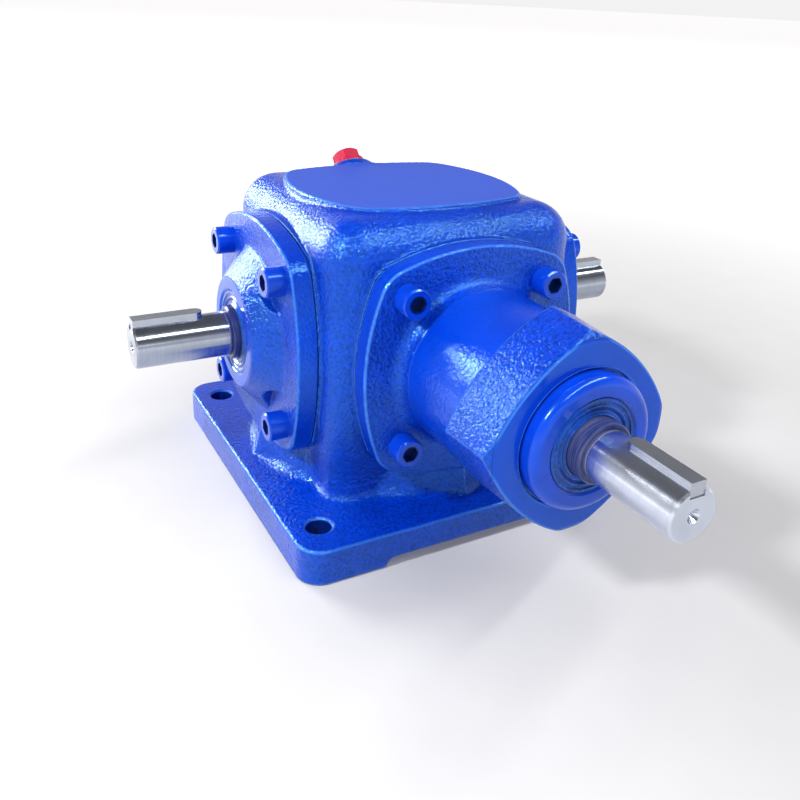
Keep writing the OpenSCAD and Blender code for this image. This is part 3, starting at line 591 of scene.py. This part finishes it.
def metal(name, colour, rough, grain=900, along=None, bump_mm=0.02, dark=0.7, painted_to=None):
    """Bare metal; along is the axis that the cutting marks run round, as an axis letter.
    Nearer the centre than painted_to, in metres along that axis, it carries overspray."""
    mat, tree, bsdf = material(name)
    stretch = {"x": (1, 0.04, 0.04), "y": (0.04, 1, 0.04), "z": (0.04, 0.04, 1),
               None: (1, 1, 1)}[along]
    marks = noise(tree, grain, 3.0, 0.6, stretch)
    spots = noise(tree, 90, 3.0, 0.6)
    shade = tuple(c * dark for c in colour)
    tint = mix_colour(tree, ramp(tree, spots, 0.35, 0.7, 0.0, 0.5), colour, shade)
    tint = mix_colour(tree, ramp(tree, marks, 0.3, 0.7, 0.0, 0.35), tint, shade)
    if painted_to is None:
        bsdf.inputs["Metallic"].default_value = 1.0
    else:
        far = math_node(tree, "ABSOLUTE", position_parts(tree)["xyz".index(along)])
        edge = math_node(tree, "ADD", far, times(tree, spots, 0.0016))
        paint = ramp(tree, edge, painted_to + 0.0012, painted_to + 0.0002, 0, 0.97)
        paint = times(tree, paint, ramp(tree, marks, 0.3, 0.6, 0.86, 1.0))
        tint = mix_colour(tree, paint, tint, OVERSPRAY)
        link(tree, ramp(tree, paint, 0, 1, 1, 0.1), bsdf.inputs["Metallic"])
        link(tree, ramp(tree, paint, 0, 1, 0.5, 0.15), bsdf.inputs["Specular IOR Level"])
        # grinding marks run round the shaft, so a light draws out along it
        spoke = add(tree, "ShaderNodeVectorMath", operation="SUBTRACT")
        spoke.inputs[1].default_value = (0, 0, AXIS_Z)
        link(tree, add(tree, "ShaderNodeNewGeometry").outputs["Position"], spoke.inputs[0])
        ring = add(tree, "ShaderNodeVectorMath", operation="CROSS_PRODUCT")
        ring.inputs[1].default_value = [float(axis == along) for axis in "xyz"]
        link(tree, spoke.outputs[0], ring.inputs[0])
        link(tree, ring.outputs[0], bsdf.inputs["Tangent"])
        bsdf.inputs["Anisotropic"].default_value = 0.8
        bsdf.inputs["Anisotropic Rotation"].default_value = 0.25
    link(tree, tint, bsdf.inputs["Base Color"])
    link(tree, ramp(tree, marks, 0.3, 0.7, rough * 0.8, rough * 1.3), bsdf.inputs["Roughness"])
    link(tree, bump(tree, marks, 0.5, bump_mm * MM), bsdf.inputs["Normal"])
    return mat


def rubber():
    mat, tree, bsdf = material("seal_rubber")
    fine = noise(tree, 500)
    worn = noise(tree, 120, 3.0, 0.6)
    colour = mix_colour(tree, ramp(tree, worn, 0.35, 0.65, 0, 1),
                        (0.004, 0.03, 0.22), (0.006, 0.07, 0.50))
    link(tree, colour, bsdf.inputs["Base Color"])
    link(tree, ramp(tree, fine, 0.3, 0.7, 0.16, 0.3), bsdf.inputs["Roughness"])
    link(tree, bump(tree, fine, 0.3, 0.0002), bsdf.inputs["Normal"])
    bsdf.inputs["Specular Tint"].default_value = GLEAM
    bsdf.inputs["Coat Weight"].default_value = 0.3
    return mat


def red_paint():
    mat, tree, bsdf = material("plug_red")
    worn = noise(tree, 150, 3.0, 0.6)
    colour = mix_colour(tree, ramp(tree, worn, 0.4, 0.7, 0, 0.6),
                        (0.50, 0.006, 0.05), (0.30, 0.004, 0.03))
    link(tree, colour, bsdf.inputs["Base Color"])
    link(tree, ramp(tree, worn, 0.3, 0.7, 0.25, 0.4), bsdf.inputs["Roughness"])
    link(tree, bump(tree, worn, 0.2, 0.0003), bsdf.inputs["Normal"])
    bsdf.inputs["Coat Weight"].default_value = 0.5
    return mat


def lens():
    mat, tree, bsdf = material("gauge_glass")
    cloud = noise(tree, 200)
    link(tree, ramp(tree, cloud, 0.3, 0.7, 0.03, 0.10), bsdf.inputs["Roughness"])
    link(tree, mix_colour(tree, cloud, (0.75, 0.80, 0.72), (0.88, 0.90, 0.80)),
         bsdf.inputs["Base Color"])
    bsdf.inputs["Transmission Weight"].default_value = 0.7
    return mat


PAINT = cast_paint()
TURNED = turned_paint()
SLOT_MATERIALS = {
    "gear_steel": metal("gear_steel", (0.50, 0.50, 0.51), 0.30, 500),
    "bearing_steel": metal("bearing_steel", (0.72, 0.72, 0.72), 0.12, bump_mm=0.004),
    "cage_steel": metal("cage_steel", (0.42, 0.40, 0.36), 0.38, 400),
    "spring_steel": metal("spring_steel", (0.55, 0.55, 0.55), 0.3),
    "shim_steel": metal("shim_steel", (0.006, 0.04, 0.30), 0.5, 300),
    "seal_rubber": rubber(),
    "plug_red": red_paint(),
    "plug_steel": metal("plug_steel", (0.62, 0.62, 0.60), 0.28, 700),
    "gauge_brass": metal("gauge_brass", (0.75, 0.56, 0.26), 0.25, along="y"),
    "gauge_glass": lens(),
    "copper": metal("copper", (0.72, 0.40, 0.25), 0.32, 600),
    "key_steel": metal("key_steel", (0.52, 0.56, 0.64), 0.24, along="z", bump_mm=0.004, dark=0.8),
    "cast_paint": TURNED,
}
NODE_MATERIALS = {
    "cross_shaft": metal("ground_steel_x", (0.43, 0.48, 0.57), 0.17, 1500, along="x",
                         bump_mm=0.010, dark=0.72, painted_to=0.1084),
    "left_cover_screws": turned_paint("shaded_socket_paint_side", "yz"),
    "right_cover_screws": turned_paint("shaded_socket_paint_side_right", "yz"),
    "snout_screws": turned_paint("shaded_socket_paint_front", "xz"),
    "input_shaft": metal("ground_steel_y", (0.70, 0.75, 0.87), 0.17, 1500, along="y",
                         bump_mm=0.010, dark=0.72, painted_to=0.1986),
}
for part in frame["record"]["subparts"]:
    node = nodes[part["node"]]
    mat = NODE_MATERIALS.get(part["node"], SLOT_MATERIALS.get(part["material_slot"], TURNED))
    node.data.materials.clear()
    node.data.materials.append(mat)


# ---------------------------------------------------------------- castings
def place_piece(obj, node):
    """The object stands in for a CAD node of the casing."""
    obj.data.materials.append(PAINT)
    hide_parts(node)
    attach(obj, "gearbox_casing")


def flange_rim(pts):
    """Points on the flange's rim, which is machined."""
    return (flange_outline(pts[:, 0], pts[:, 1], soft=5) > -0.6) & (pts[:, 2] < 89.6)


HOUSING_TOP = 184
AROUND = 65             # half of the box that holds a flange
COVER_STEP, SNOUT_STEP = STEP * 0.62, STEP * 0.68
NEAR = 0.3              # points this close to a cut plane are on it
UPRIGHT, SQUARE = 0.95, 0.98    # normals closer to an axis than this belong to flat faces

p, f, n = surface(housing_field, (-FOOT_X, -FOOT_Y, 0), (FOOT_X, FOOT_Y, HOUSING_TOP), STEP)
pad_mask = (p[:, 2] > AXIS_H + (PAD_UP - NEAR)) & (n[:, 2] > UPRIGHT)
seat_mask = ((np.abs(n[:, 0]) > SQUARE) & (np.abs(p[:, 0]) > SEAT_OUT - NEAR)
             | (np.abs(n[:, 1]) > SQUARE) & (np.abs(p[:, 1]) > SEAT_OUT - NEAR))
at_back = p[:, 1] > 70                  # the other three seats are covered
under = p[:, 2] < NEAR
# points inside the foot holes, where the 'hole' mask paints shade into the colour
from_hole = np.hypot(np.abs(p[:, 0]) - FOOT_HOLE_X, np.abs(p[:, 1]) - FOOT_HOLE_Y)
in_hole = (from_hole < FOOT_HOLE_R + 0.4) & (p[:, 2] < FOOT_TOP - 1.5)
housing = make_mesh("cast_housing", p, f, n, {
    "machined": (pad_mask | seat_mask & at_back | under).astype(float),
    "pad": pad_mask.astype(float),
    "hole": in_hole.astype(float)})
place_piece(housing, "housing")

p, f, n = surface(cover_field, (-AROUND, -AROUND, COVER_IN), (AROUND, AROUND, COVER_OUT),
                  COVER_STEP)
face = (p[:, 2] > COVER_OUT - NEAR) | (np.hypot(p[:, 0], p[:, 1]) < SEAL_R + 1.5)
for side in ("left", "right"):
    cover = make_mesh(f"cast_{side}_cover", *turned(p, f, n, side), {
        "machined": np.maximum(flange_rim(p) * 0.6, face).astype(float),
        "pad": np.zeros(len(p))})
    place_piece(cover, f"{side}_cover")

p, f, n = surface(snout_field, (-AROUND, -AROUND, SNOUT_IN), (AROUND, AROUND, NOSE_OUT),
                  SNOUT_STEP)
front = (p[:, 2] > NOSE_OUT - 2 * NEAR) | (np.hypot(p[:, 0], p[:, 1]) < 36)
turned_barrel = (p[:, 2] > 98) & (p[:, 2] < 149)
snout = make_mesh("cast_snout", *turned(p, f, n, "front"), {
    "machined": np.maximum(np.maximum(flange_rim(p) * 0.6, front),
                           turned_barrel * 0.75).astype(float),
    "pad": np.zeros(len(p))})
place_piece(snout, "input_snout")


# ---------------------------------------------------------------- oil seals: ringed rubber faces
# closed outline, as (radius, height above the seal's front) in mm
SEAL = (
    (23.47, -7), (23.47, -0.35), (23.2, 0), (21.7, 0), (21.4, -0.6), (20.9, -0.9), (20.4, -0.75),
    (20.1, -0.2), (19.5, 0.05), (18.9, -0.15), (18.6, -0.9), (18.1, -1.25), (17.6, -1.0),
    (17.3, -0.45), (16.8, -0.3), (16.3, -0.55), (15.9, -0.2), (15.35, 0.25), (15.3, -0.3),
    (16.3, -2.2), (16.8, -4.0), (15.3, -5.4), (16.2, -6.8), (18.2, -6.9), (18.2, -6.0),
    (17.1, -6.0), (17.1, -4.4), (18.2, -4.3), (21.9, -1.6), (21.9, -7))


def lathe(name, profile, front, side, turns=160):
    """Closed (radius, height) outline turned round the axis; front is where height 0 lies."""
    count = len(profile)
    ang = np.arange(turns) * 2 * math.pi / turns
    r = np.array([a for a, _ in profile])
    w = np.array([b for _, b in profile]) + front
    pts = np.stack([np.outer(np.cos(ang), r), np.outer(np.sin(ang), r),
                    np.broadcast_to(w, (turns, count))], 2)
    i, j = np.meshgrid(np.arange(turns), np.arange(count), indexing="ij")
    ni, nj = (i + 1) % turns, (j + 1) % count
    quads = np.stack([i * count + j, ni * count + j, ni * count + nj, i * count + nj], 2)
    pts = pts.reshape(-1, 3)
    pts, quads, _ = turned(pts, quads.reshape(-1, 4), pts, side)
    mesh = bpy.data.meshes.new(name)
    mesh.from_pydata((pts * MM).tolist(), [], quads.tolist())
    mesh.polygons.foreach_set("use_smooth", np.ones(len(quads), bool))
    mesh.set_sharp_from_angle(angle=math.radians(50))
    obj = bpy.data.objects.new(name, mesh)
    bpy.context.scene.collection.objects.link(obj)
    return obj


for side, at in (("left", 102.7), ("right", 102.7), ("front", 188.7)):
    node = "input_oil_seal" if side == "front" else f"{side}_oil_seal"
    seal = lathe(f"turned_{node}", SEAL, at, side)
    seal.data.materials.append(SLOT_MATERIALS["seal_rubber"])
    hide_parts(node)
    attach(seal, "gearbox_casing")


# ---------------------------------------------------------------- floor and light
def floor_material():
    """Pale floor that glows a little, more further off, so that it stays near white."""
    mat, tree, bsdf = material("floor")
    grain = noise(tree, 30, 3.0, 0.5)
    link(tree, mix_colour(tree, grain, (0.50, 0.495, 0.50), (0.54, 0.535, 0.54)),
         bsdf.inputs["Base Color"])
    bsdf.inputs["Roughness"].default_value = 0.7
    bsdf.inputs["Emission Color"].default_value = (1.0, 0.985, 0.99, 1)
    far = add(tree, "ShaderNodeVectorMath", operation="LENGTH")
    link(tree, object_place(tree), far.inputs[0])
    near = ramp(tree, far.outputs["Value"], 0.35, 1.2, 0.12, 0.98)
    distant = ramp(tree, far.outputs["Value"], 2.5, 8, 1, 0.84)
    link(tree, times(tree, near, distant), bsdf.inputs["Emission Strength"])
    return mat


FLOOR_HALF = 30
floor_mesh = bpy.data.meshes.new("floor")
floor_mesh.from_pydata([(-FLOOR_HALF, -FLOOR_HALF, 0), (FLOOR_HALF, -FLOOR_HALF, 0),
                        (FLOOR_HALF, FLOOR_HALF, 0), (-FLOOR_HALF, FLOOR_HALF, 0)],
                       [], [(0, 1, 2, 3)])
floor = bpy.data.objects.new("floor", floor_mesh)
bpy.context.scene.collection.objects.link(floor)
floor_mesh.materials.append(floor_material())


def area_light(name, place, target, size, watts):
    data = bpy.data.lights.new(name, "AREA")
    data.shape = "RECTANGLE"
    data.size, data.size_y = size
    data.energy = watts
    obj = bpy.data.objects.new(name, data)
    bpy.context.scene.collection.objects.link(obj)
    obj.location = place
    aim = Vector(target) - Vector(place)
    obj.rotation_euler = aim.to_track_quat("-Z", "Y").to_euler()


area_light("overhead", (0.30, -0.50, 0.95), (0.05, -0.02, 0.1), (1.3, 0.08), 9.0)
area_light("left_key", (-0.85, -0.22, 0.78), (0, 0, 0.12), (0.12, 0.12), 10.0)
area_light("back_left", (-0.55, 0.95, 0.45), (0, 0, 0.12), (0.50, 0.42), 15.0)
area_light("front_soft", (-0.3, -1.3, 0.5), (0, 0, 0.1), (0.9, 0.2), 0.6)

# the sky is bright at the horizon and dim overhead
world = bpy.data.worlds.new("world")
world.use_nodes = True
sky = world.node_tree
split = add(sky, "ShaderNodeSeparateXYZ")
link(sky, add(sky, "ShaderNodeTexCoord").outputs["Generated"], split.inputs[0])
glow = ramp(sky, split.outputs["Z"], 0.03, 0.55, 0.90, 0.16)
link(sky, mix_colour(sky, glow, (0, 0, 0), (1, 0.99, 0.995)),
     sky.nodes["Background"].inputs["Color"])
bpy.context.scene.world = world
bpy.context.scene.view_settings.view_transform = "Standard"
